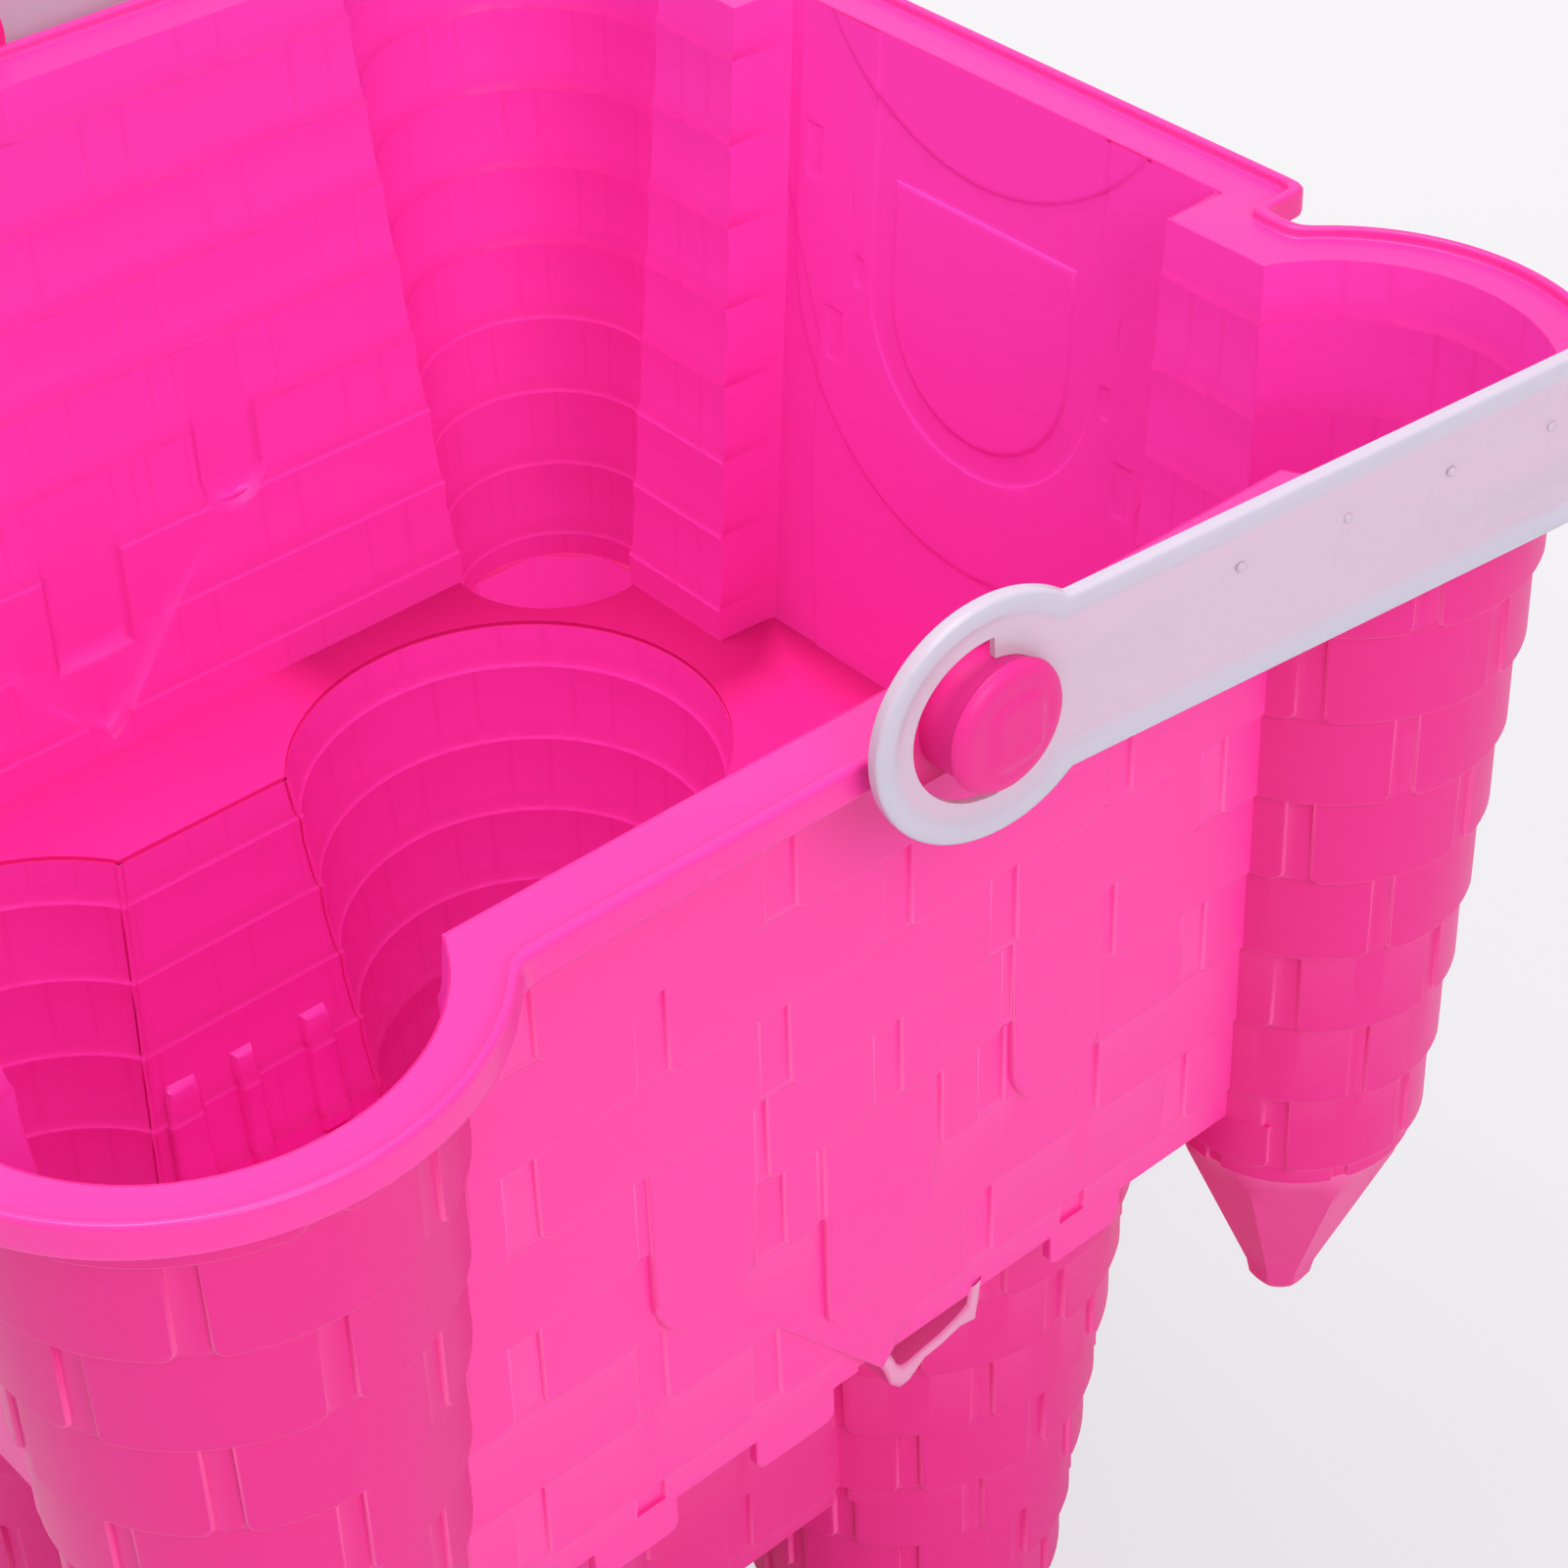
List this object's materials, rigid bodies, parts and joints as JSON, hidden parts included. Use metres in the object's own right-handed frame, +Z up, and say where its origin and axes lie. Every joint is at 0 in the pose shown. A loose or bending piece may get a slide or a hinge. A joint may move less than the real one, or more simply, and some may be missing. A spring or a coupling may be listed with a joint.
{
  "type": "sand mould",
  "caption": "Castle-shaped sand mould, mouth up: square brick-patterned bucket with corner towers, a towered keep below it and a bail handle on two pegs.",
  "frame": {"origin": "middle of the bucket's plan, on the plane of the keep towers' flat feet", "axes": "+Z up out of the mouth, the front wall with its peg faces -Y, the gate wall faces +X; at rest the handle lies towards +X"},
  "size_m": [0.2619, 0.2166, 0.2168],
  "materials": {
    "bucket": "satin pink polypropylene with a fine moulded grain",
    "handle": "milky translucent polypropylene"
  },
  "bodies": {
    "bucket": {"rim": "bucket", "front_wall": "bucket", "back_wall": "bucket", "left_wall": "bucket", "gate_wall": "bucket", "tower_front_left": "bucket", "tower_front_right": "bucket", "tower_back_left": "bucket", "tower_back_right": "bucket", "spire_front_left": "bucket", "spire_front_right": "bucket", "spire_back_left": "bucket", "spire_back_right": "bucket", "deck": "bucket", "front_peak": "bucket", "keep_wall_front": "bucket", "keep_wall_back": "bucket", "keep_wall_left": "bucket", "keep_wall_right": "bucket", "keep_tower_front_left": "bucket", "keep_tower_front_right": "bucket", "keep_tower_back_left": "bucket", "keep_tower_back_right": "bucket", "keep_deck": "bucket", "front_peg": "bucket", "back_peg": "bucket"},
    "handle": {"handle": "handle"}
  },
  "joints": [
    {"name": "handle_hinge", "type": "hinge", "parent": "bucket", "child": "handle", "pos_m": [0, 0, 0.2013], "axis": [0, -1, 0], "range_deg": [-60, 236]}
  ]
}
